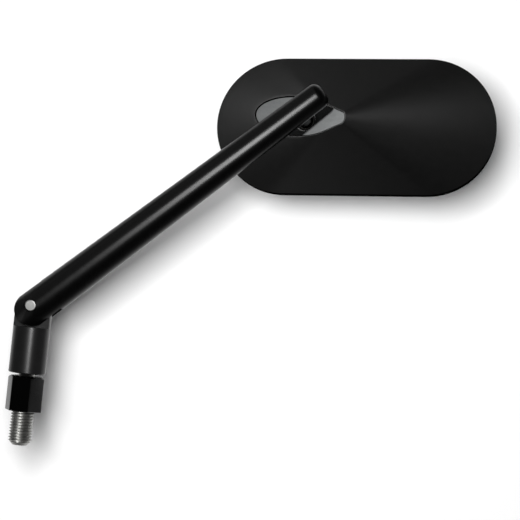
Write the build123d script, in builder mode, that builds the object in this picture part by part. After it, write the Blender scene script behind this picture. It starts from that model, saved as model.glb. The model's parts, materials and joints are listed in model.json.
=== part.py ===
"""Motorcycle mirror: a threaded stud, a folding tapered arm and an oblong head on a ball joint.

Millimetres. The origin is on the stud's axis where the thread comes out of the lock nut, +Z runs up
the stud, and the arm folds in the XZ plane. The head's glass faces +Y and its conical back faces -Y.
"""
import os
from math import cos, pi, radians, sin, sqrt, tan

from build123d import *

os.makedirs("parts", exist_ok=True)

# Mounting stud
thread_diameter = 10.0
thread_pitch = 1.25
stud_exposed = 14.6
stud_tip_chamfer = 2.0
neck_diameter = 7.0
neck_into_base = 0.5
root_diameter = 8.0
root_length = 13.0

# Lock nut
nut_across_flats = 14.0
nut_height = 15.0
nut_turn = -3.0
nut_top_circle = 13.2
nut_chamfer_angle = 30.0
nut_to_base = 1.2

# Base with its tang
base_diameter = 16.0
base_height = 20.0
base_edge_chamfer = 0.4
root_hole_spare = 1.0
shoulder_to_pivot = 9.3
tang_thickness = 4.0
tang_top_radius = 8.0
tang_top_drop = 2.0

# Pivot
pivot_diameter = 5.0
pivot_end_chamfer = 0.3
pivot_end_inset = 0.4
bush_diameter = 7.0
washer_diameter = 11.4
washer_thickness = 0.5
pivot_spring_diameter = 9.0
pivot_spring_thickness = 0.4
pivot_spring_cone = 0.3
pivot_head_diameter = 8.6
pivot_head_height = 2.2
pivot_head_chamfer = 0.5
pivot_socket_across_flats = 3.0
pivot_socket_depth = 1.3
cheek_under_spring = 2.8

# Arm
arm_angle = 42.5
arm_length = 154.3
arm_drop = 1.0
arm_root_diameter = 15.7
arm_tip_diameter = 11.1
arm_tip_round = 3.6
fork_depth = 9.0

# Ball stud
ball_from_tip = 13.85
ball_turn = -18.0
ball_diameter = 8.0
ball_reach = 15.9
ball_neck_diameter = 4.0
collar_diameter = 8.0
collar_to_ball = 7.3
collar_seat = 4.9
shank_diameter = 6.0
shank_length = 7.5
shank_chamfer = 0.6
shank_hole_spare = 0.5

# Ball joint inside the head
liner_thickness = 0.85
liner_mouth_angle = 50.0
liner_skirt = 2.4
socket_mouth_angle = 51.0
socket_mouth_land = 0.4
socket_wall_step = 0.3
cup_below_ball = 2.0
cup_floor = 1.2
cup_spring_diameter = 9.0
cup_spring_bore = 5.0
cup_spring_thickness = 0.5
cup_spring_cone = 0.5
boss_diameter = 21.0
clamp_plate_thickness = 1.4
clamp_screw_count = 3
clamp_screw_diameter = 2.5
clamp_screw_inset = 2.5
clamp_screw_head = 4.2
clamp_screw_head_angle = 90.0
clamp_screw_length = 5.5
clamp_screw_slot = 0.7
clamp_screw_slot_depth = 0.6
clamp_screw_hole_spare = 0.5

# Head
head_length = 121.0
head_height = 59.6
head_roll = 5.2
head_pitch = 8.3
rim_depth = 6.0
rim_draft = 0.2
rim_wall = 1.3
cone_height = 18.0
apex_offset_share = 0.1312
cone_tip_share = 0.02
front_edge_chamfer = 0.4
cavity_margin = 5.0
cavity_wall_top = 0.5
cavity_apex = 11.0

# Slanted flat of the back and the leaf plate in it
facet_drop = 2.7
facet_slope_share = 0.7683
facet_lean_share = 0.1043
ball_offset_share = 0.3455
leaf_border = 0.15
leaf_gap = 0.5
leaf_thickness = 1.05
leaf_sink = 0.45
leaf_hole_diameter = 9.6
leaf_outline_points = 40
leaf_outline_crowding = 1.6
leaf_outline_step = 0.001

# Glass
glass_thickness = 2.0
glass_radius = 1200.0
glass_inset = 0.3
adhesive_thickness = 0.6
adhesive_width = 2.2

# Clearances
thread_clearance = 0.05
running_clearance = 0.05
seat_clearance = 0.05
side_clearance = 0.15
screw_clearance = 0.15
spot_face_clearance = 0.3
nut_clearance = 0.1

# Pitch diameter of a metric thread: its major diameter less this share of the pitch
pitch_diameter_share = 0.6495

BASE = (Align.CENTER, Align.CENTER, Align.MIN)
TOP = (Align.CENTER, Align.CENTER, Align.MAX)

# Heights on the stud's axis
engaged_radius = (thread_diameter - pitch_diameter_share * thread_pitch) / 2
nut_bottom = nut_clearance
nut_top = nut_bottom + nut_height
base_bottom = nut_top + nut_to_base
shoulder_z = base_bottom + base_height
pivot_z = shoulder_z + shoulder_to_pivot
root_bottom = base_bottom + neck_into_base
root_top = root_bottom + root_length

# Pivot frames: Z or the section's Y runs along the pivot, towards the glass side
pivot_point = Vector(0, 0, pivot_z)
pivot_frame = Plane(origin=pivot_point, x_dir=(1, 0, 0), z_dir=(0, 1, 0))
pivot_section = Plane(origin=pivot_point, x_dir=(1, 0, 0), z_dir=(0, 0, 1))
pivot_axis = Axis(pivot_point, (0, 1, 0))
tang_face = tang_thickness / 2
cheek_face = tang_face + washer_thickness + seat_clearance
spring_seat = cheek_face + cheek_under_spring
pivot_head_seat = spring_seat + pivot_spring_thickness + pivot_spring_cone
pivot_head_top = pivot_head_seat + pivot_head_height

# Arm frames: its centreline runs a little below the pivot, and the side plane's X runs along it
arm_direction = Vector(cos(radians(arm_angle)), 0, sin(radians(arm_angle)))
arm_below = Vector(sin(radians(arm_angle)), 0, -cos(radians(arm_angle)))
arm_origin = pivot_point + arm_below * arm_drop
arm_side = Plane(origin=arm_origin, x_dir=arm_direction, z_dir=(0, -1, 0))
arm_axis = Axis(arm_origin, arm_direction)
arm_root_radius = arm_root_diameter / 2
arm_tip_radius = arm_tip_diameter / 2
arm_taper = (arm_root_radius - arm_tip_radius) / arm_length

# Ball stud frames: the frame's Z, and the section's Y, run out of the arm towards the head
ball_direction = Vector(0, 1, 0).rotate(Axis((0, 0, 0), arm_direction), ball_turn)
ball_root = arm_origin + arm_direction * (arm_length - ball_from_tip)
ball_centre = ball_root + ball_direction * ball_reach
stud_frame = Plane(origin=ball_root, x_dir=arm_direction, z_dir=ball_direction)
stud_section = Plane(origin=ball_root, x_dir=arm_direction, z_dir=arm_direction.cross(ball_direction))
ball_axis = Axis(ball_root, ball_direction)
ball_radius = ball_diameter / 2
liner_radius = ball_radius + running_clearance + liner_thickness
socket_radius = liner_radius + running_clearance

# Head frame: X along the head, Y up it and Z out of its back, with the cone's foot at Z = 0
head_x = Vector(cos(radians(head_roll)), 0, sin(radians(head_roll)))
head_up = Vector(-sin(radians(head_roll)), 0, cos(radians(head_roll)))
head_back = Vector(0, -1, 0) * cos(radians(head_pitch)) + head_up * sin(radians(head_pitch))
head_turn = Plane(origin=(0, 0, 0), x_dir=head_x, z_dir=head_back)

# Slanted flat: its slopes are shares of the cone's own, and the ball sits under it, on its normal
apex_offset = apex_offset_share * head_length / 2
facet_slope = facet_slope_share * cone_height / (head_length / 2 - apex_offset)
facet_lean = facet_lean_share * cone_height / (head_height / 2)
facet_ball_offset = ball_offset_share * head_length / 2
leaf_depth = leaf_thickness + leaf_sink
facet_height = cone_height - facet_drop - facet_slope * (facet_ball_offset - apex_offset)
facet_normal = Vector(-facet_slope, facet_lean, 1).normalized()
facet_point = Vector(-facet_ball_offset, 0, facet_height)
ball_to_facet = socket_radius * cos(radians(socket_mouth_angle)) + socket_mouth_land + leaf_depth
ball_in_head = facet_point - facet_normal * ball_to_facet
head_origin = ball_centre - head_turn.from_local_coords(ball_in_head)
head_frame = Plane(origin=head_origin, x_dir=head_x, z_dir=head_back)
head_axis = Axis(head_origin, head_back)
facet_origin = head_frame.from_local_coords(facet_point)
facet_frame = Plane(origin=facet_origin, x_dir=head_x, z_dir=head_turn.from_local_coords(facet_normal))
mouth_frame = Plane(origin=ball_centre, x_dir=head_x, z_dir=facet_frame.z_dir)
socket_frame = Plane(origin=ball_centre, x_dir=head_x, z_dir=head_back)
socket_section = Plane(origin=ball_centre, x_dir=head_x, z_dir=head_x.cross(head_back))
socket_axis = Axis(ball_centre, head_back)

# Levels in the head's frame
front_level = -rim_depth
ledge_level = front_level + glass_inset + glass_thickness + adhesive_thickness

# Levels below the ball's centre, along the head's Z
cup_bottom = -socket_radius - cup_floor
boss_face = cup_bottom - cup_spring_thickness - cup_spring_cone
clamp_face = boss_face - clamp_plate_thickness
cup_radius = socket_radius + socket_wall_step - running_clearance

# Clamp screws, set in from the boss's edge
clamp_screw_circle = boss_diameter - 2 * clamp_screw_inset

# Rim: its outside draws in towards the glass
front_length = head_length - 2 * rim_draft
front_height = head_height - 2 * rim_draft

# Glass: its front edge is set back by the inset where the oblong is longest
glass_length = front_length - 2 * (rim_wall + side_clearance)
glass_height = front_height - 2 * (rim_wall + side_clearance)
glass_centre_level = front_level + glass_inset + sqrt(glass_radius**2 - (glass_length / 2) ** 2)
glass_bulge = glass_centre_level - glass_radius


def oblong_reach(angle):
    """Distance from the cone's apex to the head's oblong outline, in one direction."""
    straight = (head_length - head_height) / 2
    radius = head_height / 2
    rise = abs(sin(angle))
    if abs(radius * cos(angle) - apex_offset * rise) <= straight * rise:
        return radius / rise
    lead = apex_offset + (straight if cos(angle) > 0 else -straight)
    return lead * cos(angle) + sqrt(radius**2 - (lead * rise) ** 2)


def facet_edge(angle):
    """Point where the slanted flat meets the cone, in the flat's own frame."""
    fall = cone_height / oblong_reach(angle)
    reach = facet_drop / (fall + facet_slope * cos(angle) - facet_lean * sin(angle))
    point = Vector(reach * cos(angle) - apex_offset, reach * sin(angle), cone_height - fall * reach)
    return facet_frame.to_local_coords(head_frame.from_local_coords(point))


def leaf_outline(inset):
    """Points at one distance inside the flat's edge, crowded towards its far end."""
    points = []
    for number in range(leaf_outline_points):
        share = 2 * number / leaf_outline_points - 1
        angle = pi * (1 + share * abs(share) ** (leaf_outline_crowding - 1))
        along = facet_edge(angle + leaf_outline_step) - facet_edge(angle - leaf_outline_step)
        inward = Vector(-along.Y, along.X).normalized()
        edge = facet_edge(angle)
        points.append((edge.X + inward.X * inset, edge.Y + inward.Y * inset))
    return points


# Steel stud, its engaged thread drawn at the pitch diameter and its root screwed into the base
with BuildPart() as mount_stud:
    with BuildSketch(Plane.XZ):
        with BuildLine():
            Polyline(
                (0, -stud_exposed),
                (thread_diameter / 2 - stud_tip_chamfer, -stud_exposed),
                (thread_diameter / 2, -stud_exposed + stud_tip_chamfer),
                (thread_diameter / 2, 0),
                (engaged_radius, 0),
                (engaged_radius, nut_top),
                (neck_diameter / 2, nut_top),
                (neck_diameter / 2, root_bottom),
                (root_diameter / 2, root_bottom),
                (root_diameter / 2, root_top),
                (0, root_top),
                close=True,
            )
        make_face()
    revolve(axis=Axis.Z)
mount_stud.part.label = "mount_stud"
export_step(mount_stud.part, "parts/mount_stud.step")


# Hexagon lock nut with its upper corners turned off
nut_cone_foot = nut_top_circle / 2 + nut_height / tan(radians(nut_chamfer_angle))
with BuildPart() as lock_nut:
    with BuildSketch(Plane.XY.offset(nut_bottom)):
        RegularPolygon(radius=nut_across_flats / 2, side_count=6, major_radius=False, rotation=nut_turn)
    extrude(amount=nut_height)
    with Locations((0, 0, nut_bottom)):
        Cone(nut_cone_foot, nut_top_circle / 2, nut_height, align=BASE, mode=Mode.INTERSECT)
        Cylinder(engaged_radius + thread_clearance, nut_height, align=BASE, mode=Mode.SUBTRACT)
lock_nut.part.label = "lock_nut"
export_step(lock_nut.part, "parts/lock_nut.step")


# Round base that ends in a flat tang, bored for the stud's root and for the pivot bush
with BuildPart() as base_knuckle:
    with Locations((0, 0, base_bottom)):
        Cylinder(base_diameter / 2, base_height + shoulder_to_pivot + tang_top_radius, align=BASE)
    chamfer(base_knuckle.edges().sort_by(Axis.Z)[0], length=base_edge_chamfer)
    with BuildSketch(Plane.XY.offset(shoulder_z)):
        Circle(base_diameter)
        Rectangle(2 * base_diameter, tang_thickness, mode=Mode.SUBTRACT)
    extrude(amount=shoulder_to_pivot + tang_top_radius, mode=Mode.SUBTRACT)
    with BuildSketch(pivot_frame):
        with Locations((0, tang_top_drop)):
            Circle(tang_top_radius)
            Rectangle(base_diameter, pivot_z, align=(Align.CENTER, Align.MIN))
    extrude(amount=base_diameter, both=True, mode=Mode.INTERSECT)
    with Locations((0, 0, base_bottom)):
        Cylinder(
            root_diameter / 2 + thread_clearance,
            root_top + root_hole_spare - base_bottom,
            align=BASE,
            mode=Mode.SUBTRACT,
        )
    with Locations(pivot_frame):
        Cylinder(bush_diameter / 2 + seat_clearance, tang_thickness, mode=Mode.SUBTRACT)
base_knuckle.part.label = "base_knuckle"
export_step(base_knuckle.part, "parts/base_knuckle.step")


# Plain bush in the tang
with BuildPart() as pivot_bush:
    with BuildSketch(pivot_frame):
        Circle(bush_diameter / 2)
        Circle(pivot_diameter / 2 + running_clearance, mode=Mode.SUBTRACT)
    extrude(amount=tang_face, both=True)
pivot_bush.part.label = "pivot_bush"
export_step(pivot_bush.part, "parts/pivot_bush.step")


# Friction washers on both faces of the tang
for side_name, side in (("front", -1), ("back", 1)):
    with BuildPart() as friction_washer:
        with BuildSketch(pivot_frame.offset(side * tang_face)):
            Circle(washer_diameter / 2)
            Circle(pivot_diameter / 2 + screw_clearance, mode=Mode.SUBTRACT)
        extrude(amount=side * washer_thickness)
    friction_washer.part.label = f"friction_washer_{side_name}"
    export_step(friction_washer.part, f"parts/friction_washer_{side_name}.step")


# Disc spring under the pivot screw's head, its rim on the back cheek
with BuildPart() as pivot_disc_spring:
    with BuildSketch(pivot_section):
        with BuildLine():
            Polyline(
                (pivot_diameter / 2 + screw_clearance, spring_seat + pivot_spring_cone),
                (pivot_spring_diameter / 2, spring_seat),
                (pivot_spring_diameter / 2, spring_seat + pivot_spring_thickness),
                (pivot_diameter / 2 + screw_clearance, pivot_head_seat),
                close=True,
            )
        make_face()
    revolve(axis=pivot_axis)
pivot_disc_spring.part.label = "pivot_disc_spring"
export_step(pivot_disc_spring.part, "parts/pivot_disc_spring.step")


# Pivot screw: its end lies flush in the front cheek, its socket head at the back
pivot_end = -arm_root_radius + pivot_end_inset
with BuildPart() as pivot_screw:
    with BuildSketch(pivot_section):
        with BuildLine():
            Polyline(
                (0, pivot_end),
                (pivot_diameter / 2 - pivot_end_chamfer, pivot_end),
                (pivot_diameter / 2, pivot_end + pivot_end_chamfer),
                (pivot_diameter / 2, pivot_head_seat),
                (pivot_head_diameter / 2, pivot_head_seat),
                (pivot_head_diameter / 2, pivot_head_top - pivot_head_chamfer),
                (pivot_head_diameter / 2 - pivot_head_chamfer, pivot_head_top),
                (0, pivot_head_top),
                close=True,
            )
        make_face()
    revolve(axis=pivot_axis)
    with BuildSketch(pivot_frame.offset(pivot_head_top)):
        RegularPolygon(radius=pivot_socket_across_flats / 2, side_count=6, major_radius=False)
    extrude(amount=-pivot_socket_depth, mode=Mode.SUBTRACT)
pivot_screw.part.label = "pivot_screw"
export_step(pivot_screw.part, "parts/pivot_screw.step")


# Tapered arm: forked and rounded at the pivot, rounded at the tip, tapped for the ball stud
with BuildPart() as arm:
    with BuildSketch(arm_side):
        with BuildLine():
            Polyline(
                (-arm_root_radius, 0),
                (-arm_root_radius, arm_root_radius + arm_taper * arm_root_radius),
                (arm_length, arm_tip_radius),
                (arm_length, 0),
                close=True,
            )
        make_face()
    revolve(axis=arm_axis)
    fillet(arm.faces().sort_by(arm_axis)[-1].edges(), radius=arm_tip_round)
    with BuildSketch(arm_side):
        Circle(arm_root_radius)
        Rectangle(2 * arm_length, 2 * arm_root_radius, align=(Align.MIN, Align.CENTER))
    extrude(amount=arm_root_diameter, both=True, mode=Mode.INTERSECT)
    with BuildSketch(arm_side):
        with Locations((fork_depth, 0)):
            Rectangle(2 * arm_root_diameter, 2 * arm_root_diameter, align=(Align.MAX, Align.CENTER))
    extrude(amount=cheek_face, both=True, mode=Mode.SUBTRACT)
    with BuildSketch(pivot_frame):
        Circle(pivot_diameter / 2 + seat_clearance)
    extrude(amount=arm_root_diameter, both=True, mode=Mode.SUBTRACT)
    with BuildSketch(pivot_frame.offset(spring_seat)):
        Circle(pivot_spring_diameter / 2 + spot_face_clearance)
    extrude(amount=arm_root_diameter, mode=Mode.SUBTRACT)
    with BuildSketch(stud_frame.offset(collar_seat)):
        Circle(collar_diameter / 2 + side_clearance)
    extrude(amount=arm_root_diameter, mode=Mode.SUBTRACT)
    with BuildSketch(stud_frame.offset(collar_seat)):
        Circle(shank_diameter / 2 + thread_clearance)
    extrude(amount=-shank_length - shank_hole_spare, mode=Mode.SUBTRACT)
arm.part.label = "arm"
export_step(arm.part, "parts/arm.step")


# Ball stud: screwed shank, collar against the arm, neck and ball
collar_bottom = collar_seat + seat_clearance
collar_end = ball_reach - collar_to_ball
shank_end = collar_seat - shank_length
with BuildPart() as ball_stud:
    with BuildSketch(stud_section):
        with BuildLine():
            Polyline(
                (0, shank_end),
                (shank_diameter / 2 - shank_chamfer, shank_end),
                (shank_diameter / 2, shank_end + shank_chamfer),
                (shank_diameter / 2, collar_bottom),
                (collar_diameter / 2, collar_bottom),
                (collar_diameter / 2, collar_end),
                (ball_neck_diameter / 2, collar_end),
                (ball_neck_diameter / 2, ball_reach),
                (0, ball_reach),
                close=True,
            )
        make_face()
    revolve(axis=ball_axis)
    with Locations(ball_centre):
        Sphere(ball_radius)
ball_stud.part.label = "ball_stud"
export_step(ball_stud.part, "parts/ball_stud.step")


# Plastic liner: a shell round the ball with a mouth for the neck
liner_mouth_radius = ball_diameter * tan(radians(liner_mouth_angle))
with BuildPart() as ball_liner:
    with Locations(mouth_frame):
        Sphere(liner_radius)
        Sphere(ball_radius + running_clearance, mode=Mode.SUBTRACT)
        Cone(0, liner_mouth_radius, ball_diameter, align=BASE, mode=Mode.SUBTRACT)
    with Locations(mouth_frame.offset(-liner_skirt)):
        Cylinder(ball_diameter, ball_diameter, align=TOP, mode=Mode.SUBTRACT)
ball_liner.part.label = "ball_liner"
export_step(ball_liner.part, "parts/ball_liner.step")


# Hollow of the housing: glass pocket, straight well and conical roof, less the ball joint's boss
with BuildPart() as hollow:
    with BuildSketch(head_frame.offset(front_level)):
        SlotOverall(front_length - 2 * rim_wall, front_height - 2 * rim_wall)
    extrude(amount=ledge_level - front_level)
    with BuildSketch(head_frame.offset(ledge_level)):
        SlotOverall(head_length - 2 * cavity_margin, head_height - 2 * cavity_margin)
    extrude(amount=-cavity_wall_top - ledge_level)
    with BuildSketch(head_frame.offset(-cavity_wall_top)):
        SlotOverall(head_length - 2 * cavity_margin, head_height - 2 * cavity_margin)
    with BuildSketch(head_frame.offset(cavity_apex)):
        with Locations((-apex_offset, 0)):
            SlotOverall(
                (head_length - 2 * cavity_margin) * cone_tip_share,
                (head_height - 2 * cavity_margin) * cone_tip_share,
            )
    loft(ruled=True)
    with BuildSketch(socket_frame.offset(boss_face)):
        Circle(boss_diameter / 2)
    extrude(amount=cone_height, mode=Mode.SUBTRACT)


# Housing: oblong rim and conical back, cut by the slanted flat, with the ball socket in its boss
socket_mouth_radius = ball_diameter * tan(radians(socket_mouth_angle))
with BuildPart() as housing:
    with BuildSketch(head_frame.offset(front_level)):
        SlotOverall(front_length, front_height)
    with BuildSketch(head_frame):
        SlotOverall(head_length, head_height)
    loft(ruled=True)
    with BuildSketch(head_frame):
        SlotOverall(head_length, head_height)
    with BuildSketch(head_frame.offset(cone_height * (1 - cone_tip_share))):
        with Locations((-apex_offset * (1 - cone_tip_share), 0)):
            SlotOverall(head_length * cone_tip_share, head_height * cone_tip_share)
    loft(ruled=True)
    split(bisect_by=facet_frame, keep=Keep.BOTTOM)
    with BuildSketch(facet_frame):
        with BuildLine():
            Spline(*leaf_outline(leaf_border), periodic=True)
        make_face()
    extrude(amount=-leaf_depth, mode=Mode.SUBTRACT)
    add(hollow.part, mode=Mode.SUBTRACT)
    chamfer(housing.faces().sort_by(head_axis)[0].outer_wire().edges(), length=front_edge_chamfer)
    with Locations(mouth_frame):
        Sphere(socket_radius, mode=Mode.SUBTRACT)
        Cone(0, socket_mouth_radius, ball_diameter, align=BASE, mode=Mode.SUBTRACT)
    with BuildSketch(socket_frame):
        Circle(socket_radius + socket_wall_step)
    extrude(amount=boss_face, mode=Mode.SUBTRACT)
    with Locations(socket_frame.offset(boss_face)):
        with PolarLocations(clamp_screw_circle / 2, clamp_screw_count):
            Cylinder(
                clamp_screw_diameter / 2 + thread_clearance,
                clamp_screw_length - clamp_plate_thickness + clamp_screw_hole_spare,
                align=BASE,
                mode=Mode.SUBTRACT,
            )
housing.part.label = "housing"
export_step(housing.part, "parts/housing.step")


# Leaf plate let into the slanted flat
with BuildPart() as leaf_plate:
    with BuildSketch(facet_frame.offset(-leaf_depth)):
        with BuildLine():
            Spline(*leaf_outline(leaf_border + leaf_gap), periodic=True)
        make_face()
    extrude(amount=leaf_thickness)
    with Locations(mouth_frame):
        Cylinder(leaf_hole_diameter / 2, cone_height, mode=Mode.SUBTRACT)
leaf_plate.part.label = "leaf_plate"
export_step(leaf_plate.part, "parts/leaf_plate.step")


# Pressure cup under the ball
with BuildPart() as pressure_cup:
    with BuildSketch(socket_frame.offset(cup_bottom)):
        Circle(cup_radius)
    extrude(amount=-cup_below_ball - cup_bottom)
    with Locations(mouth_frame):
        Sphere(socket_radius, mode=Mode.SUBTRACT)
pressure_cup.part.label = "pressure_cup"
export_step(pressure_cup.part, "parts/pressure_cup.step")


# Disc spring between the cup and the clamp plate
with BuildPart() as cup_spring:
    with BuildSketch(socket_section):
        with BuildLine():
            Polyline(
                (cup_spring_bore / 2, cup_bottom),
                (cup_spring_bore / 2, cup_bottom - cup_spring_thickness),
                (cup_spring_diameter / 2, boss_face),
                (cup_spring_diameter / 2, boss_face + cup_spring_thickness),
                close=True,
            )
        make_face()
    revolve(axis=socket_axis)
cup_spring.part.label = "cup_spring"
export_step(cup_spring.part, "parts/cup_spring.step")


# Clamp plate on the boss, with countersunk holes
clamp_front = Plane(
    origin=socket_frame.offset(clamp_face).origin,
    x_dir=head_x,
    z_dir=head_back * -1,
)
with BuildPart() as clamp_plate:
    with BuildSketch(socket_frame.offset(clamp_face)):
        Circle(boss_diameter / 2)
    extrude(amount=clamp_plate_thickness)
    with Locations(clamp_front):
        with PolarLocations(clamp_screw_circle / 2, clamp_screw_count):
            CounterSinkHole(
                clamp_screw_diameter / 2 + screw_clearance,
                clamp_screw_head / 2 + screw_clearance,
                depth=clamp_plate_thickness,
                counter_sink_angle=clamp_screw_head_angle,
            )
clamp_plate.part.label = "clamp_plate"
export_step(clamp_plate.part, "parts/clamp_plate.step")


# Countersunk clamp screws with a slot
screw_head_flare = (clamp_screw_head - clamp_screw_diameter) / 2
screw_head_height = screw_head_flare / tan(radians(clamp_screw_head_angle / 2))
for number, place in enumerate(PolarLocations(clamp_screw_circle / 2, clamp_screw_count), start=1):
    screw_frame = Plane(clamp_front.location * place)
    with BuildPart() as clamp_screw:
        with Locations(screw_frame):
            Cylinder(clamp_screw_diameter / 2, clamp_screw_length, align=TOP)
            Cone(clamp_screw_diameter / 2, clamp_screw_head / 2, screw_head_height, align=TOP)
            Box(clamp_screw_head, clamp_screw_slot, 2 * clamp_screw_slot_depth, mode=Mode.SUBTRACT)
    clamp_screw.part.label = f"clamp_screw_{number}"
    export_step(clamp_screw.part, f"parts/clamp_screw_{number}.step")


# Foam ring between the housing's ledge and the curved back of the glass
glass_centre = Plane(origin=head_frame.offset(glass_centre_level).origin, x_dir=head_x, z_dir=head_up)
with BuildPart() as adhesive_ring:
    with BuildSketch(head_frame.offset(ledge_level)):
        SlotOverall(glass_length, glass_height)
        SlotOverall(
            glass_length - 2 * adhesive_width,
            glass_height - 2 * adhesive_width,
            mode=Mode.SUBTRACT,
        )
    extrude(amount=glass_bulge - ledge_level)
    with Locations(glass_centre):
        Sphere(glass_radius - glass_thickness, mode=Mode.INTERSECT)
adhesive_ring.part.label = "adhesive_ring"
export_step(adhesive_ring.part, "parts/adhesive_ring.step")


# Convex mirror glass
with BuildPart() as mirror_glass:
    with BuildSketch(head_frame.offset(ledge_level)):
        SlotOverall(glass_length, glass_height)
    extrude(amount=glass_bulge - ledge_level - glass_thickness)
    with Locations(glass_centre):
        Sphere(glass_radius, mode=Mode.INTERSECT)
        Sphere(glass_radius - glass_thickness, mode=Mode.SUBTRACT)
mirror_glass.part.label = "mirror_glass"
export_step(mirror_glass.part, "parts/mirror_glass.step")
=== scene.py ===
import json
from math import atan2, cos, pi, radians, sin, sqrt, tan

import bmesh
import bpy
from mathutils import Matrix, Vector


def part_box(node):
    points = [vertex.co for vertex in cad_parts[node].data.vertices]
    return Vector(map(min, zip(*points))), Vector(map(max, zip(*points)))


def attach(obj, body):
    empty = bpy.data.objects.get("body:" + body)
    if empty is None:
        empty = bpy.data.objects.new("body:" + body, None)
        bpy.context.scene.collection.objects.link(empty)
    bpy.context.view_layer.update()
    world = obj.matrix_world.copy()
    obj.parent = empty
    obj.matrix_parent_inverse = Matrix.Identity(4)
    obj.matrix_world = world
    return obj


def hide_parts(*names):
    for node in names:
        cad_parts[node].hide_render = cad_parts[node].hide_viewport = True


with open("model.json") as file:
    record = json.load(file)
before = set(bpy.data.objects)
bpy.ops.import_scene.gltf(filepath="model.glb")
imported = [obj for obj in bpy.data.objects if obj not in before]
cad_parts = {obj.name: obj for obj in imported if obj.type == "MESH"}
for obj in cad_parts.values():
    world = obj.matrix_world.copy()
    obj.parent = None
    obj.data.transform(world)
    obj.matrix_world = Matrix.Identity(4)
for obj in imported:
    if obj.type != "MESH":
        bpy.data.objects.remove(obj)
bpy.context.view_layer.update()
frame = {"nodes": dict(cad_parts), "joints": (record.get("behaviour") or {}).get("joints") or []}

MM = 0.001


# Mounting stud: a steel stud with a rolled metric thread, bare below the lock nut.
# Its upper end is turned down to a neck and screwed into the base.
def add_node(tree, kind, inputs=None, **settings):
    """Adds a node to a tree, sets its properties, and fills or links its inputs."""
    node = tree.nodes.new(kind)
    for key, value in settings.items():
        setattr(node, key, value)
    for key, value in (inputs or {}).items():
        if isinstance(value, bpy.types.NodeSocket):
            tree.links.new(value, node.inputs[key])
        else:
            node.inputs[key].default_value = value
    return node


def sum_of(tree, operation, first, second=0.0, third=0.0):
    """Output of one Math node on up to three numbers or sockets."""
    numbers = {0: first, 1: second, 2: third}
    return add_node(tree, "ShaderNodeMath", numbers, operation=operation).outputs[0]


def surface(
    name, dark, light, grain, roughness, metallic, specular, bump, stretch=(1, 1, 1), turn=(0, 0, 0)
):
    """Metal or plastic whose tone, gloss and fine relief all follow a grain of one size, in metres."""
    fine_weight, broad_weight = 0.6, 0.4
    broad_scale = 0.06
    darkest, lightest = 0.3, 0.7
    material = bpy.data.materials.new(name)
    material.use_nodes = True
    tree = material.node_tree
    shader = tree.nodes["Principled BSDF"]
    shader.inputs["Metallic"].default_value = metallic
    shader.inputs["Specular IOR Level"].default_value = specular
    place = add_node(tree, "ShaderNodeTexCoord").outputs["Object"]
    scale = [share / grain for share in stretch]
    mapping = add_node(tree, "ShaderNodeMapping", {"Vector": place, "Rotation": turn, "Scale": scale})
    mapped = mapping.outputs[0]
    fine = add_node(tree, "ShaderNodeTexNoise", {"Vector": mapped, "Scale": 1.0, "Detail": 4.0})
    broad = add_node(tree, "ShaderNodeTexNoise", {"Vector": mapped, "Scale": broad_scale, "Detail": 2.0})
    broad_share = sum_of(tree, "MULTIPLY", broad.outputs[0], broad_weight)
    mixed = sum_of(tree, "MULTIPLY_ADD", fine.outputs[0], fine_weight, broad_share)
    ramp = add_node(tree, "ShaderNodeValToRGB", {"Fac": mixed})
    for stop, position, tone in zip(ramp.color_ramp.elements, (darkest, lightest), (dark, light)):
        stop.position = position
        stop.color = (*tone, 1)
    tree.links.new(ramp.outputs[0], shader.inputs["Base Color"])
    gloss = add_node(
        tree,
        "ShaderNodeMapRange",
        {
            "Value": mixed,
            "From Min": darkest,
            "From Max": lightest,
            "To Min": roughness[0],
            "To Max": roughness[1],
        },
    )
    tree.links.new(gloss.outputs[0], shader.inputs["Roughness"])
    relief = add_node(
        tree,
        "ShaderNodeBump",
        {"Height": fine.outputs[0], "Strength": bump, "Distance": grain},
    )
    tree.links.new(relief.outputs[0], shader.inputs["Normal"])
    return material


def place_piece(name, mesh, material, body, slot, *nodes):
    """Puts a finished mesh in the scene in place of its nodes, riding on its body."""
    piece = bpy.data.objects.new(name, mesh)
    bpy.context.collection.objects.link(piece)
    mesh.materials.clear()
    mesh.materials.append(material)
    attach(piece, body)
    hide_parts(*nodes)
    return piece


stud_low, stud_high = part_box("mount_stud")
nut_low, nut_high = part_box("lock_nut")
base_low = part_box("base_knuckle")[0]
thread_length = -stud_low.z
thread_crest = stud_high.x
thread_pitch = 1.25 * MM
thread_depth = 0.72 * MM
crest_share, root_share = 0.06, 0.42
thread_chamfer = 2.0 * MM
thread_columns = 96
thread_rows = 200
seam_gap = 0.001 * MM
stud_crease = 50
stud_steel = surface(
    "stud_steel",
    dark=(0.26, 0.26, 0.25),
    light=(0.4, 0.4, 0.385),
    grain=0.25 * MM,
    roughness=(0.36, 0.46),
    metallic=1.0,
    specular=0.5,
    bump=0.05,
    stretch=(1, 1, 4),
)

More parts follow.
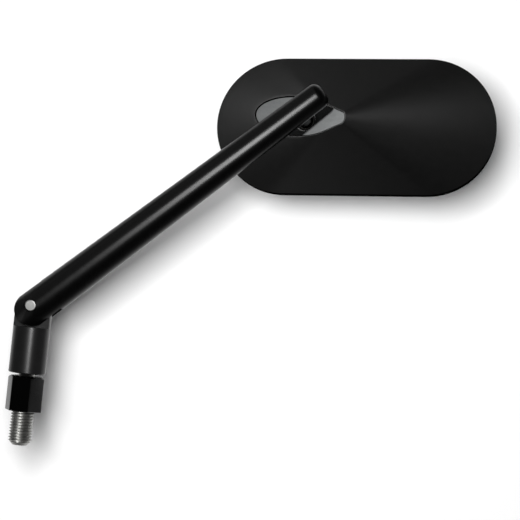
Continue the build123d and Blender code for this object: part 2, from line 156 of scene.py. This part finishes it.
thread_tree = bpy.data.node_groups.new("rolled_thread", "GeometryNodeTree")
thread_tree.interface.new_socket("Mesh", in_out="OUTPUT", socket_type="NodeSocketGeometry")
thread_sizes = {}
for size_name in ("Crest Radius", "Depth", "Pitch", "Length", "Chamfer"):
    thread_sizes[size_name] = thread_tree.interface.new_socket(
        size_name, in_out="INPUT", socket_type="NodeSocketFloat"
    )
sizes = thread_tree.nodes.new("NodeGroupInput").outputs
sheet = add_node(
    thread_tree,
    "GeometryNodeMeshGrid",
    {"Size X": 1.0, "Size Y": 1.0, "Vertices X": thread_columns + 1, "Vertices Y": thread_rows},
)
spot = add_node(
    thread_tree,
    "ShaderNodeSeparateXYZ",
    {0: thread_tree.nodes.new("GeometryNodeInputPosition").outputs[0]},
).outputs
turn_share = sum_of(thread_tree, "ADD", spot[0], 0.5)
height = sum_of(thread_tree, "MULTIPLY", sum_of(thread_tree, "ADD", spot[1], 0.5), sizes["Length"])
turns = sum_of(thread_tree, "SUBTRACT", sum_of(thread_tree, "DIVIDE", height, sizes["Pitch"]), turn_share)
wave = sum_of(thread_tree, "PINGPONG", turns, 0.5)
flank = add_node(
    thread_tree,
    "ShaderNodeMapRange",
    {"Value": wave, "From Min": crest_share, "From Max": root_share, "To Min": 1.0, "To Max": 0.0},
    interpolation_type="SMOOTHSTEP",
).outputs[0]
root_radius = sum_of(thread_tree, "SUBTRACT", sizes["Crest Radius"], sizes["Depth"])
ridge_radius = sum_of(thread_tree, "MULTIPLY_ADD", flank, sizes["Depth"], root_radius)
tip_radius = sum_of(thread_tree, "SUBTRACT", sizes["Crest Radius"], sizes["Chamfer"])
tip_limit = sum_of(thread_tree, "ADD", tip_radius, height)
end_limit = sum_of(thread_tree, "ADD", root_radius, sum_of(thread_tree, "SUBTRACT", sizes["Length"], height))
outer_limit = sum_of(thread_tree, "MINIMUM", tip_limit, end_limit)
radius = sum_of(thread_tree, "MINIMUM", ridge_radius, outer_limit)
angle = sum_of(thread_tree, "MULTIPLY", turn_share, 2 * pi)
wrapped = add_node(
    thread_tree,
    "ShaderNodeCombineXYZ",
    {
        0: sum_of(thread_tree, "MULTIPLY", radius, sum_of(thread_tree, "COSINE", angle)),
        1: sum_of(thread_tree, "MULTIPLY", radius, sum_of(thread_tree, "SINE", angle)),
        2: sum_of(thread_tree, "SUBTRACT", height, sizes["Length"]),
    },
)
rolled = add_node(
    thread_tree,
    "GeometryNodeSetPosition",
    {"Geometry": sheet.outputs["Mesh"], "Position": wrapped.outputs[0]},
)
seamed = add_node(
    thread_tree,
    "GeometryNodeMergeByDistance",
    {"Geometry": rolled.outputs[0], "Distance": seam_gap},
)
real = add_node(thread_tree, "GeometryNodeRealizeInstances", {"Geometry": seamed.outputs[0]})
clad = add_node(
    thread_tree,
    "GeometryNodeSetMaterial",
    {"Geometry": real.outputs[0], "Material": stud_steel},
)
thread_out = thread_tree.nodes.new("NodeGroupOutput")
thread_tree.links.new(clad.outputs[0], thread_out.inputs[0])

blank = bpy.data.objects.new("thread_blank", bpy.data.meshes.new("thread_blank"))
bpy.context.collection.objects.link(blank)
roller = blank.modifiers.new("rolled_thread", "NODES")
roller.node_group = thread_tree
for size_name, size in (
    ("Crest Radius", thread_crest),
    ("Depth", thread_depth),
    ("Pitch", thread_pitch),
    ("Length", thread_length),
    ("Chamfer", thread_chamfer),
):
    roller[thread_sizes[size_name].identifier] = size
stud_mesh = bpy.data.meshes.new_from_object(blank.evaluated_get(bpy.context.evaluated_depsgraph_get()))
bpy.data.objects.remove(blank)

# The tip is closed, and the thread's upper edge is carried on as the plain shank, neck and root
neck_radius = 3.5 * MM
root_step = 0.5 * MM
root_screw_radius = 3.95 * MM
shank_radius = thread_crest - thread_depth
stud_steps = (
    (shank_radius, nut_high.z),
    (neck_radius, nut_high.z),
    (neck_radius, base_low.z + root_step),
    (root_screw_radius, base_low.z + root_step),
    (root_screw_radius, stud_high.z),
)
stud_shape = bmesh.new()
stud_shape.from_mesh(stud_mesh)
rims = [edge for edge in stud_shape.edges if edge.is_boundary]
rim = [edge for edge in rims if edge.verts[0].co.z > -thread_length / 2]
tip_rim = [edge for edge in rims if edge.verts[0].co.z < -thread_length / 2]
bmesh.ops.contextual_create(stud_shape, geom=tip_rim)
for step_radius, step_height in stud_steps:
    raised = bmesh.ops.extrude_edge_only(stud_shape, edges=rim)["geom"]
    rim = [item for item in raised if isinstance(item, bmesh.types.BMEdge)]
    for vertex in [item for item in raised if isinstance(item, bmesh.types.BMVert)]:
        around = atan2(vertex.co.y, vertex.co.x)
        vertex.co = (step_radius * cos(around), step_radius * sin(around), step_height)
bmesh.ops.contextual_create(stud_shape, geom=rim)
bmesh.ops.recalc_face_normals(stud_shape, faces=stud_shape.faces)
stud_shape.to_mesh(stud_mesh)
stud_shape.free()
stud_mesh.shade_smooth()
stud_mesh.set_sharp_from_angle(angle=radians(stud_crease))
place_piece("threaded_stud", stud_mesh, stud_steel, "base", "stud_steel", "mount_stud")


# Lock nut: a long black hexagon nut on the stud, machined from bar.
# Its upper corners are turned off at 30 degrees and its edges are broken.
def skin_loops(loops, through):
    """Closed mesh over loops of equally many points: joined round a hole, or capped at both ends."""
    crease = 35
    mesh = bpy.data.meshes.new("skin")
    count = len(loops[0])
    points = [point for loop in loops for point in loop]
    faces = []
    for row in range(len(loops) if through else len(loops) - 1):
        below = row * count
        above = (row + 1) % len(loops) * count
        for column in range(count):
            after = (column + 1) % count
            faces.append((below + column, below + after, above + after, above + column))
    if not through:
        faces.append(tuple(range(count)))
        faces.append(tuple(range(len(points) - count, len(points))))
    mesh.from_pydata(points, [], faces)
    shape = bmesh.new()
    shape.from_mesh(mesh)
    bmesh.ops.recalc_face_normals(shape, faces=shape.faces)
    shape.to_mesh(mesh)
    shape.free()
    mesh.shade_smooth()
    mesh.set_sharp_from_angle(angle=radians(crease))
    return mesh


nut_flat = 7.0 * MM
nut_turn = -3.0
nut_corner_round = 0.45 * MM
nut_top_radius = 6.6 * MM
nut_chamfer_slope = tan(radians(30))
nut_break = 0.2 * MM
nut_bore = 4.64 * MM
nut_bore_chamfer = 0.5 * MM
corner_steps = 4
flat_steps = 8

hexagon = []
for corner in range(6):
    middle = radians(nut_turn + 60 * corner)
    bend = Vector((cos(middle), sin(middle))) * (nut_flat - nut_corner_round) / cos(pi / 6)
    for step in range(corner_steps + 1):
        way = middle + radians(60 * step / corner_steps - 30)
        hexagon.append(bend + Vector((cos(way), sin(way))) * nut_corner_round)
    onward = radians(nut_turn + 60 * (corner + 1))
    leave = hexagon[-1]
    next_bend = Vector((cos(onward), sin(onward))) * (nut_flat - nut_corner_round) / cos(pi / 6)
    arrive = next_bend + Vector((cos(middle + pi / 6), sin(middle + pi / 6))) * nut_corner_round
    for step in range(1, flat_steps):
        hexagon.append(leave.lerp(arrive, step / flat_steps))


def nut_loop(reach, level):
    """One loop of the nut: the hexagon drawn in to a reach, at a level that may follow the corners."""
    loop = []
    for point in hexagon:
        wide = point.length
        out = reach(wide)
        spot = point * (out / wide)
        loop.append((spot.x, spot.y, level(out)))
    return loop


def chamfer_level(out):
    """Height of the turned chamfer at a distance from the axis."""
    return nut_high.z - max(0.0, out - nut_top_radius) * nut_chamfer_slope


nut_loops = (
    nut_loop(lambda wide: nut_bore + nut_bore_chamfer, lambda out: nut_low.z),
    nut_loop(lambda wide: wide - nut_break, lambda out: nut_low.z),
    nut_loop(lambda wide: wide, lambda out: nut_low.z + nut_break),
    nut_loop(lambda wide: wide, lambda out: chamfer_level(out) - nut_break),
    nut_loop(lambda wide: wide - nut_break / 2, lambda out: chamfer_level(out) - nut_break / 4),
    nut_loop(lambda wide: wide - nut_break, lambda out: chamfer_level(out) - nut_break / 8),
    nut_loop(lambda wide: min(wide - nut_break, nut_top_radius), lambda out: chamfer_level(out)),
    nut_loop(lambda wide: nut_bore + nut_bore_chamfer, lambda out: nut_high.z),
    nut_loop(lambda wide: nut_bore, lambda out: nut_high.z - nut_bore_chamfer),
    nut_loop(lambda wide: nut_bore, lambda out: nut_low.z + nut_bore_chamfer),
)
nut_black = surface(
    "nut_black",
    dark=(0.0018, 0.0018, 0.0018),
    light=(0.003, 0.003, 0.0031),
    grain=0.3 * MM,
    roughness=(0.26, 0.32),
    metallic=0.0,
    specular=0.45,
    bump=0.04,
)
nut_mesh = skin_loops(nut_loops, through=True)
place_piece("hex_lock_nut", nut_mesh, nut_black, "nut", "nut_black", "lock_nut")


# Base: a turned black aluminium barrel whose top is milled to a flat tang.
# The stud screws into it from below, and its sharp edges are broken.
def eased_mesh(node, width, steepest=30):
    """Copy of a CAD node's mesh, welded, with its sharp edges rounded to a width."""
    weld_gap = 0.002 * MM
    flat_within = radians(0.3)
    mesh = frame["nodes"][node].data.copy()
    for layer in [item for item in mesh.attributes if item.name == "custom_normal"]:
        mesh.attributes.remove(layer)
    shape = bmesh.new()
    shape.from_mesh(mesh)
    bmesh.ops.remove_doubles(shape, verts=shape.verts, dist=weld_gap)
    bmesh.ops.dissolve_limit(shape, angle_limit=flat_within, verts=shape.verts, edges=shape.edges)
    shape.to_mesh(mesh)
    shape.free()
    mesh.shade_smooth()
    mesh.set_sharp_from_angle(angle=radians(steepest))
    rough = bpy.data.objects.new("rough", mesh)
    bpy.context.collection.objects.link(rough)
    easing = rough.modifiers.new("easing", "BEVEL")
    easing.width = width
    easing.segments = 3
    easing.limit_method = "ANGLE"
    easing.angle_limit = radians(steepest)
    easing.harden_normals = True
    eased = bpy.data.meshes.new_from_object(rough.evaluated_get(bpy.context.evaluated_depsgraph_get()))
    bpy.data.objects.remove(rough)
    return eased


# A copy of the arm's black finish, about ten times lighter in colour: the added lightness is painted light
# on the barrel's sides.
base_black_painted_light = surface(
    "base_black_painted_light",
    dark=(0.005, 0.005, 0.005),
    light=(0.0075, 0.0075, 0.0076),
    grain=0.2 * MM,
    roughness=(0.27, 0.31),
    metallic=0.0,
    specular=0.25,
    bump=0.02,
)
base_mesh = eased_mesh("base_knuckle", 0.25 * MM)
place_piece("turned_base", base_mesh, base_black_painted_light, "base", "arm_black", "base_knuckle")


# Pivot: a bronze bush in the tang, fibre washers beside it and a disc spring under the screw's head.
# The bright screw runs through them all, its end flush with the arm's front cheek.
bush_bronze = surface(
    "bush_bronze",
    dark=(0.36, 0.2, 0.08),
    light=(0.55, 0.34, 0.15),
    grain=0.3 * MM,
    roughness=(0.3, 0.45),
    metallic=1.0,
    specular=0.5,
    bump=0.05,
)
washer_fibre = surface(
    "washer_fibre",
    dark=(0.02, 0.018, 0.016),
    light=(0.06, 0.055, 0.05),
    grain=0.15 * MM,
    roughness=(0.7, 0.9),
    metallic=0.0,
    specular=0.3,
    bump=0.2,
)
spring_steel = surface(
    "spring_steel",
    dark=(0.12, 0.12, 0.125),
    light=(0.24, 0.24, 0.245),
    grain=0.3 * MM,
    roughness=(0.3, 0.42),
    metallic=1.0,
    specular=0.5,
    bump=0.05,
)
screw_steel = surface(
    "screw_steel",
    dark=(0.19, 0.19, 0.187),
    light=(0.27, 0.27, 0.264),
    grain=0.25 * MM,
    roughness=(0.3, 0.4),
    metallic=1.0,
    specular=0.5,
    bump=0.04,
)


def dress(material, *nodes):
    """Gives CAD nodes that keep their shape a finish."""
    for name in nodes:
        frame["nodes"][name].data.materials.clear()
        frame["nodes"][name].data.materials.append(material)


dress(bush_bronze, "pivot_bush")
dress(washer_fibre, "friction_washer_front", "friction_washer_back")
dress(spring_steel, "pivot_disc_spring")
place_piece(
    "pivot_bolt",
    eased_mesh("pivot_screw", 0.15 * MM),
    screw_steel,
    "folding_arm",
    "screw_steel",
    "pivot_screw",
)


# Arm: one turned and tapered black aluminium bar with a round end.
# Its lower end is slotted to a fork over the tang, and the ball stud screws into its upper end.
arm_black = surface(
    "arm_black",
    dark=(0.0005, 0.0005, 0.0005),
    light=(0.0009, 0.0009, 0.0009),
    grain=0.2 * MM,
    roughness=(0.26, 0.3),
    metallic=0.0,
    specular=0.15,
    bump=0.02,
)
place_piece("tapered_arm", eased_mesh("arm", 0.3 * MM), arm_black, "folding_arm", "arm_black", "arm")


# Ball stud: turned steel, blackened in oil, screwed into the arm up to its collar.
# A plastic liner wraps its ball inside the head.
stud_black = surface(
    "stud_black",
    dark=(0.012, 0.012, 0.012),
    light=(0.02, 0.02, 0.0205),
    grain=0.25 * MM,
    roughness=(0.2, 0.28),
    metallic=1.0,
    specular=0.5,
    bump=0.03,
)
place_piece(
    "collared_ball_stud",
    eased_mesh("ball_stud", 0.2 * MM),
    stud_black,
    "ball",
    "stud_black",
    "ball_stud",
)
liner_plastic = surface(
    "liner_plastic",
    dark=(0.62, 0.62, 0.58),
    light=(0.74, 0.74, 0.7),
    grain=0.4 * MM,
    roughness=(0.4, 0.5),
    metallic=0.0,
    specular=0.4,
    bump=0.03,
)
dress(liner_plastic, "ball_liner")


# Housing: a thin black aluminium shell, its back a flat cone over an oblong, blasted and anodised.
# A slanted flat is milled across the cone's point for the leaf plate and the ball joint.
housing_specular = 0.35
housing_black = surface(
    "housing_black",
    dark=(0.002, 0.002, 0.002),
    light=(0.004, 0.004, 0.0039),
    grain=0.18 * MM,
    roughness=(0.36, 0.4),
    metallic=0.0,
    specular=housing_specular,
    bump=0.06,
)
housing_mesh = eased_mesh("housing", 0.3 * MM, 20)

# The sides of the rim and of the pocket are left dull
joints = {joint["name"]: joint for joint in frame["joints"]}
head_along = Vector(joints["head_tilt"]["axis"]).normalized()
head_up = Vector(joints["head_pan"]["axis"]).normalized()
head_back = head_along.cross(head_up).normalized()
steepest_polished = 0.78
dull = housing_mesh.attributes.new("dull", "FLOAT", "FACE")
for face in housing_mesh.polygons:
    dull.data[face.index].value = float(abs(face.normal.dot(head_back)) < steepest_polished)
housing_tree = housing_black.node_tree
dull_share = add_node(housing_tree, "ShaderNodeAttribute", attribute_name="dull").outputs["Fac"]
polish = sum_of(housing_tree, "MULTIPLY_ADD", dull_share, -housing_specular, housing_specular)
housing_tree.links.new(polish, housing_tree.nodes["Principled BSDF"].inputs["Specular IOR Level"])
place_piece("cone_housing", housing_mesh, housing_black, "head", "housing_black", "housing")


# Leaf plate: a grey aluminium plate brushed along its length, let into the slanted flat.
# A round hole in it clears the ball stud's neck.
leaf_brush_turn = (0, radians(5.2), 0)
leaf_aluminium = surface(
    "leaf_aluminium",
    dark=(0.26, 0.268, 0.27),
    light=(0.36, 0.37, 0.372),
    grain=0.12 * MM,
    roughness=(0.46, 0.54),
    metallic=1.0,
    specular=0.5,
    bump=0.05,
    stretch=(0.03, 1, 1),
    turn=leaf_brush_turn,
)
place_piece(
    "brushed_leaf",
    eased_mesh("leaf_plate", 0.12 * MM),
    leaf_aluminium,
    "head",
    "leaf_aluminium",
    "leaf_plate",
)


# Ball socket's inner pieces: a moulded cup pressed on the ball by a disc spring.
# A zinc plated plate with countersunk screws holds them in the housing.
cup_plastic = surface(
    "cup_plastic",
    dark=(0.04, 0.04, 0.04),
    light=(0.07, 0.07, 0.07),
    grain=0.4 * MM,
    roughness=(0.45, 0.55),
    metallic=0.0,
    specular=0.4,
    bump=0.04,
)
plate_steel = surface(
    "plate_steel",
    dark=(0.38, 0.39, 0.4),
    light=(0.52, 0.53, 0.54),
    grain=0.5 * MM,
    roughness=(0.32, 0.45),
    metallic=1.0,
    specular=0.5,
    bump=0.04,
)
dress(cup_plastic, "pressure_cup")
dress(spring_steel, "cup_spring")
dress(plate_steel, "clamp_plate")
dress(screw_steel, "clamp_screw_1", "clamp_screw_2", "clamp_screw_3")


# Mirror glass: a slightly convex oblong of silvered glass with ground edges.
# A soft black foam ring holds it to the ledge inside the housing's rim.
foam_black = surface(
    "foam_black",
    dark=(0.012, 0.012, 0.012),
    light=(0.03, 0.03, 0.03),
    grain=0.3 * MM,
    roughness=(0.8, 0.95),
    metallic=0.0,
    specular=0.2,
    bump=0.3,
)
dress(foam_black, "adhesive_ring")

glass_points = [vertex.co for vertex in frame["nodes"]["mirror_glass"].data.vertices]
along = [point.dot(head_along) for point in glass_points]
up = [point.dot(head_up) for point in glass_points]
back = [point.dot(head_back) for point in glass_points]
glass_round = (max(up) - min(up)) / 2
glass_straight = (max(along) - min(along)) / 2 - glass_round
glass_middle = (
    head_along * (max(along) + min(along)) / 2 + head_up * (max(up) + min(up)) / 2 + head_back * min(back)
)
glass_radius = 1200 * MM
glass_thickness = 2.0 * MM
glass_bevel = 0.35 * MM
glass_bevel_step = 0.3
glass_arc_steps = 40
glass_side_steps = 16
glass_rings = 24

oblong = []
for side in (1, -1):
    for step in range(glass_arc_steps):
        way = (0 if side == 1 else pi) - pi / 2 + pi * step / glass_arc_steps
        oblong.append(Vector((side * glass_straight + glass_round * cos(way), glass_round * sin(way))))
    for step in range(glass_side_steps):
        share = 1 - 2 * step / glass_side_steps
        oblong.append(Vector((side * glass_straight * share, side * glass_round)))


def glass_loop(share, inset, depth):
    """Loop at a share of the oblong's size and a depth behind the curved front."""
    loop = []
    for point in oblong:
        spot = point * share * (1 - inset / point.length)
        sag = glass_radius - sqrt(glass_radius**2 - spot.length_squared)
        loop.append(glass_middle + head_along * spot.x + head_up * spot.y + head_back * (sag + depth))
    return loop


glass_loops = [glass_loop(ring / glass_rings, glass_bevel, 0.0) for ring in range(1, glass_rings + 1)]
glass_loops.append(glass_loop(1.0, glass_bevel * glass_bevel_step, glass_bevel * glass_bevel_step))
glass_loops.append(glass_loop(1.0, 0.0, glass_bevel))
glass_loops.append(glass_loop(1.0, 0.0, glass_thickness - glass_bevel))
glass_loops.append(glass_loop(1.0, glass_bevel, glass_thickness))
for ring in range(glass_rings - 1, 0, -1):
    glass_loops.append(glass_loop(ring / glass_rings, glass_bevel, glass_thickness))
glass_mesh = skin_loops(glass_loops, through=False)
mirror = surface(
    "mirror",
    dark=(0.8, 0.82, 0.83),
    light=(0.86, 0.88, 0.885),
    grain=6 * MM,
    roughness=(0.015, 0.03),
    metallic=1.0,
    specular=0.5,
    bump=0.0,
)
place_piece("convex_mirror", glass_mesh, mirror, "head", "mirror", "mirror_glass")


# Camera: at the photograph's angle, a little to the right of the arm's plane and rolled.
# A long lens a metre away keeps the arm's taper true.
view_turn = radians(8)
view_roll = radians(6.2)
view_distance = 1.0
view_target = Vector((93.29, 13.11, 75.42)) * MM
sensor_width = 36.0
focal_pixels = 2330
frame_pixels = 520
towards = Vector((sin(view_turn), -cos(view_turn), 0))
level = Vector((cos(view_turn), sin(view_turn), 0))
across = level * cos(view_roll) + Vector((0, 0, 1)) * sin(view_roll)
upright = Vector((0, 0, 1)) * cos(view_roll) - level * sin(view_roll)
lens = bpy.data.cameras.new("camera")
lens.sensor_width = sensor_width
lens.lens = focal_pixels / frame_pixels * sensor_width
camera = bpy.data.objects.new("camera", lens)
bpy.context.collection.objects.link(camera)
camera.matrix_world = Matrix.Translation(view_target + towards * view_distance) @ Matrix(
    (across, upright, towards)
).transposed().to_4x4()
bpy.context.scene.camera = camera


# Backdrop: a white board parallel to the picture, a little behind the glass, that keeps the shadow.
# It fades out towards its rim and lets the view through from behind.
board_depth = 90 * MM
board_radius = 0.45
board_solid = 0.2
board_tone = 0.9
board_middle = view_target - towards * board_depth
board_mesh = bpy.data.meshes.new("white_board")
board_shape = bmesh.new()
bmesh.ops.create_circle(board_shape, cap_ends=True, segments=64, radius=board_radius)
board_shape.to_mesh(board_mesh)
board_shape.free()
board_place = Matrix.Translation(board_middle)
board_mesh.transform(board_place @ Matrix((across, upright, towards)).transposed().to_4x4())
board = bpy.data.objects.new("white_board", board_mesh)
bpy.context.collection.objects.link(board)
board_white = bpy.data.materials.new("board_white")
board_white.use_nodes = True
board_tree = board_white.node_tree
board_tree.nodes.remove(board_tree.nodes["Principled BSDF"])
board_tree_out = board_tree.nodes["Material Output"]
board_spot = add_node(
    board_tree,
    "ShaderNodeVectorMath",
    {0: add_node(board_tree, "ShaderNodeTexCoord").outputs["Object"], 1: board_middle},
    operation="DISTANCE",
)
board_fade = add_node(
    board_tree,
    "ShaderNodeMapRange",
    {"Value": board_spot.outputs["Value"], "From Min": board_solid, "From Max": board_radius},
    interpolation_type="SMOOTHSTEP",
).outputs[0]
behind = add_node(board_tree, "ShaderNodeNewGeometry").outputs["Backfacing"]
unseen = sum_of(board_tree, "MAXIMUM", board_fade, behind)
paper = add_node(board_tree, "ShaderNodeBsdfDiffuse", {"Color": (board_tone, board_tone, board_tone, 1)})
clear = add_node(board_tree, "ShaderNodeBsdfTransparent")
board_mix = add_node(
    board_tree,
    "ShaderNodeMixShader",
    {0: unseen, 1: paper.outputs[0], 2: clear.outputs[0]},
)
board_tree.links.new(board_mix.outputs[0], board_tree_out.inputs["Surface"])
board_mesh.materials.append(board_white)


# Studio light: a strip lamp along the arm, small lamps on the other pieces and a broad one on the board.
# Flags keep each lamp to its own pieces; the room is dark in front and pale behind.
arm_across = Vector((-0.676, 0, 0.737))
arm_middle = Vector((57, 0, 97)) * MM


def add_lamp(name, place, aim, size, power, lit, passed=()):
    """Oblong lamp at a place, turned to an aim, its first side across the arm.

    It lights some pieces alone, and passes others by without a shadow.
    """
    light = bpy.data.lights.new(name, "AREA")
    light.shape = "RECTANGLE"
    light.size, light.size_y = size
    light.energy = power
    lamp = bpy.data.objects.new(name, light)
    lamp.visible_camera = False
    bpy.context.collection.objects.link(lamp)
    back = (place - aim).normalized()
    side = (arm_across - back * arm_across.dot(back)).normalized()
    facing = Matrix((side, back.cross(side), back)).transposed().to_4x4()
    lamp.matrix_world = Matrix.Translation(place) @ facing
    for purpose, pieces, state in (("receiver", lit, "INCLUDE"), ("blocker", passed, "EXCLUDE")):
        if pieces:
            group = bpy.data.collections.new(name + "_" + purpose)
            for piece in pieces:
                group.objects.link(bpy.data.objects[piece])
            for entry in group.collection_objects:
                entry.light_linking.link_state = state
            setattr(lamp.light_linking, purpose + "_collection", group)


add_lamp(
    "strip_lamp",
    Vector((72, -500, 135)) * MM,
    Vector((104, 0, 135)) * MM,
    size=(0.25, 0.1),
    power=4.3,
    lit=("tapered_arm", "turned_base", "pivot_bolt"),
)
add_lamp(
    "stud_lamp",
    Vector((-50, -340, -155)) * MM,
    Vector((0, 0, -8)) * MM,
    size=(0.06, 0.06),
    power=1.7,
    lit=("threaded_stud",),
)
add_lamp(
    "arm_lamp",
    arm_middle + arm_across * 0.55 + towards * 0.3,
    arm_middle,
    size=(0.6, 0.6),
    power=0.5,
    lit=("tapered_arm", "turned_base"),
)
add_lamp(
    "leaf_lamp",
    Vector((5, -560, 235)) * MM,
    Vector((110, 0, 135)) * MM,
    size=(0.05, 0.05),
    power=2.0,
    lit=("brushed_leaf", "collared_ball_stud"),
)
for lamp_name, lamp_place, lamp_aim, lamp_width, lamp_power in (
    ("head_lamp", (5, -560, 235), (110, 0, 135), 0.12, 1.4),
    ("left_lamp", (-52, -275, 298), (80, 0, 155), 0.15, 0.85),
    ("top_lamp", (58, -41, 257), (75, 15, 152), 0.04, 0.013),
    ("side_lamp", (240, -270, 310), (135, 0, 140), 0.08, 0.085),
    ("low_lamp", (60, -210, -136), (100, 0, 130), 0.1, 0.036),
):
    add_lamp(
        lamp_name,
        Vector(lamp_place) * MM,
        Vector(lamp_aim) * MM,
        size=(lamp_width, lamp_width),
        power=lamp_power,
        lit=("cone_housing",),
        passed=("tapered_arm", "collared_ball_stud"),
    )
add_lamp(
    "board_lamp",
    view_target + towards - across * 0.066 + upright * 0.064,
    view_target,
    size=(0.2, 0.2),
    power=13.8,
    lit=("white_board",),
)

front_tone, front_stop = 0.03, 0.25
back_tone, back_stop = 0.25, 0.75
white_from, white_full = 0.4, 0.7
room = bpy.data.worlds.new("room")
bpy.context.scene.world = room
room.use_nodes = True
room_tree = room.node_tree
room_way = add_node(
    room_tree,
    "ShaderNodeSeparateXYZ",
    {0: add_node(room_tree, "ShaderNodeTexCoord").outputs["Generated"]},
).outputs
room_depth = sum_of(room_tree, "MULTIPLY_ADD", room_way[1], 0.5, 0.5)
room_tone = add_node(room_tree, "ShaderNodeValToRGB", {"Fac": room_depth})
for stop, position, tone in zip(
    room_tone.color_ramp.elements, (front_stop, back_stop), (front_tone, back_tone)
):
    stop.position = position
    stop.color = (tone, tone, tone, 1)
room_behind = add_node(
    room_tree,
    "ShaderNodeMapRange",
    {"Value": room_way[1], "From Min": white_from, "From Max": white_full},
    interpolation_type="SMOOTHSTEP",
).outputs[0]
ray = add_node(room_tree, "ShaderNodeLightPath").outputs
mirrored = sum_of(room_tree, "MAXIMUM", ray["Is Glossy Ray"], ray["Is Transmission Ray"])
mirrored_behind = sum_of(room_tree, "MULTIPLY", mirrored, room_behind)
seen = sum_of(room_tree, "MAXIMUM", ray["Is Camera Ray"], mirrored_behind)
room_view = add_node(
    room_tree,
    "ShaderNodeMix",
    {"Factor": seen, "A": room_tone.outputs[0], "B": (1, 1, 1, 1)},
    data_type="RGBA",
)
room_tree.links.new(room_view.outputs["Result"], room_tree.nodes["Background"].inputs["Color"])

bpy.context.scene.view_settings.view_transform = "Standard"
